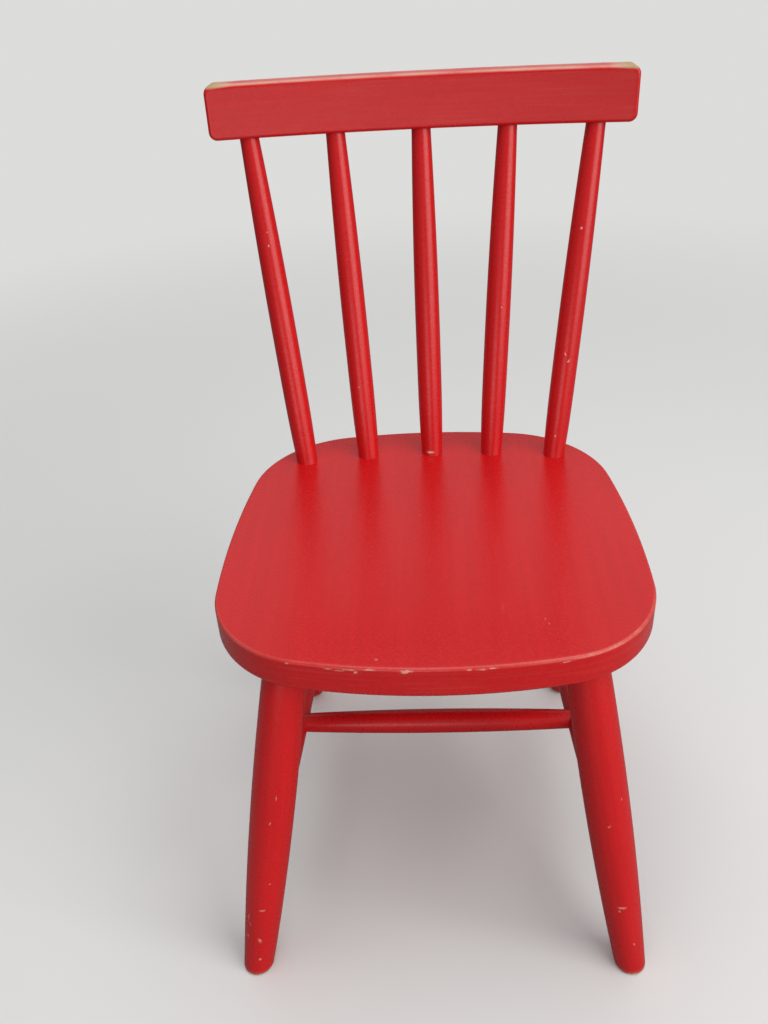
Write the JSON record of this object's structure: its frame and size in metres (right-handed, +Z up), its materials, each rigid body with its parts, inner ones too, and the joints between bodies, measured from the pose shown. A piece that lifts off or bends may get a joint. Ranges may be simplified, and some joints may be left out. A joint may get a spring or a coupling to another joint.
{
  "type": "childs_spindle_back_chair",
  "caption": "Child's red painted wooden chair: rounded slab seat, curved top rail on fanned turned spindles, splayed turned legs braced by stretchers",
  "frame": {"origin": "on the floor, under the middle of the chair's bounding box", "axes": "+Z up, the sitter faces -Y, +X towards the right as seen from the front"},
  "size_m": [0.3124, 0.3623, 0.5685],
  "materials": {
    "seat_paint": "satin red paint on wood, worn through along the front edge",
    "rail_paint": "satin red paint on wood, worn through at the top corners",
    "spindle_paint": "satin red paint on turned wood, a few chips",
    "leg_paint": "satin red paint on turned wood, chipped near the feet",
    "stretcher_paint": "satin red paint on turned wood"
  },
  "bodies": {
    "root": {"seat": "seat_paint", "crest_rail": "rail_paint", "spindle_left_outer": "spindle_paint", "spindle_left_inner": "spindle_paint", "spindle_centre": "spindle_paint", "spindle_right_inner": "spindle_paint", "spindle_right_outer": "spindle_paint", "front_leg_left": "leg_paint", "front_leg_right": "leg_paint", "back_leg_left": "leg_paint", "back_leg_right": "leg_paint", "side_stretcher_left": "stretcher_paint", "side_stretcher_right": "stretcher_paint", "cross_stretcher": "stretcher_paint"}
  },
  "joints": []
}
